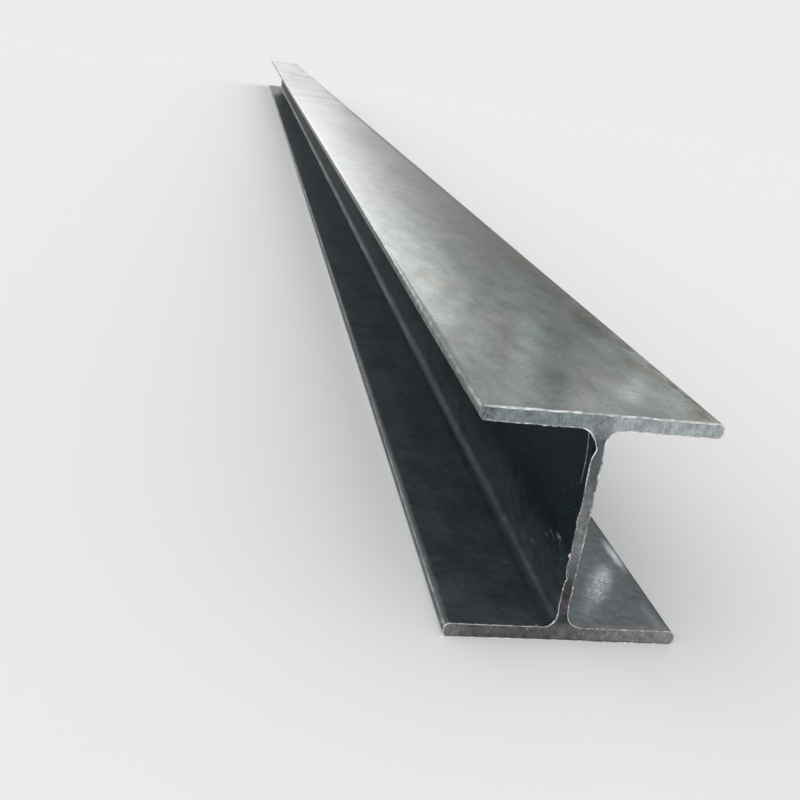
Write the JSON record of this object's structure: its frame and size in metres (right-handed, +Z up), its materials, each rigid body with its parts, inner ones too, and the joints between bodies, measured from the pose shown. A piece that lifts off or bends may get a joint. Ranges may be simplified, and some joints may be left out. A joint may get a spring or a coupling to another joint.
{
  "type": "steel h-beam",
  "caption": "Hot-rolled wide-flange steel H-beam: upright web between two wide parallel flanges, filleted roots, rounded toes and square sawn ends.",
  "frame": {"origin": "centre of the underside of the lower flange, half way along the beam", "axes": "+X across the flanges, +Y along the beam away from the end that the picture shows, +Z up the web"},
  "size_m": [0.2, 8, 0.2],
  "materials": {
    "mill_steel": "blue-grey mill scale, semi-gloss and cloudy, with bare matt steel and a bright burr at the sawn ends"
  },
  "bodies": {
    "root": {"h_beam": "mill_steel"}
  },
  "joints": []
}
